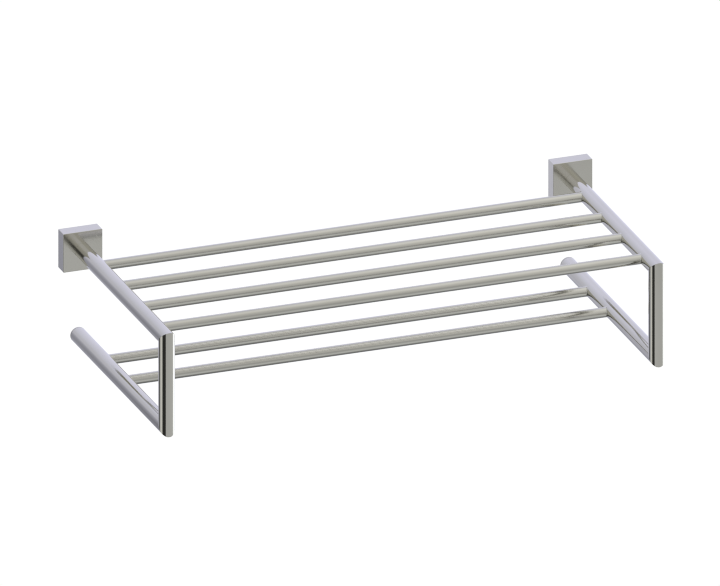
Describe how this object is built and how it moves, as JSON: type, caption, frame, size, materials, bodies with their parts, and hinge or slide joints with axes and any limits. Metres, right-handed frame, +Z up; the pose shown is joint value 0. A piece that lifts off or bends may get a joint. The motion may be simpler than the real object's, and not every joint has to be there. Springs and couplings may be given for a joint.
{
  "type": "towel rack",
  "caption": "Wall-mounted bathroom towel rack: mitred round-tube side frames on square flanges carry a row of shelf bars with towel bars below.",
  "frame": {"origin": "on the wall, midway between the two side frames and level with the axes of the upper arms", "axes": "+X along the bars, to the right as seen from the room; +Y into the wall; +Z up"},
  "size_m": [0.648, 0.303, 0.144],
  "materials": {
    "satin_nickel": "satin",
    "zinc_plated_steel": "zinc plated",
    "black_oxide_steel": "black oxide",
    "brass_insert": "machined"
  },
  "bodies": {
    "root": {"wall_bracket_left": "zinc_plated_steel", "wall_bracket_right": "zinc_plated_steel", "flange_left": "satin_nickel", "flange_right": "satin_nickel", "flange_set_screw_left": "black_oxide_steel", "flange_set_screw_right": "black_oxide_steel", "arm_washer_left": "zinc_plated_steel", "arm_washer_right": "zinc_plated_steel", "arm_screw_left": "zinc_plated_steel", "arm_screw_right": "zinc_plated_steel", "arm_insert_left": "brass_insert", "arm_insert_right": "brass_insert", "upper_arm_left": "satin_nickel", "upper_arm_right": "satin_nickel", "front_post_left": "satin_nickel", "front_post_right": "satin_nickel", "lower_arm_left": "satin_nickel", "lower_arm_right": "satin_nickel", "end_cap_left": "satin_nickel", "end_cap_right": "satin_nickel", "shelf_bar_1": "satin_nickel", "shelf_bar_2": "satin_nickel", "shelf_bar_3": "satin_nickel", "shelf_bar_4": "satin_nickel", "towel_bar_1": "satin_nickel", "towel_bar_2": "satin_nickel"}
  },
  "joints": []
}
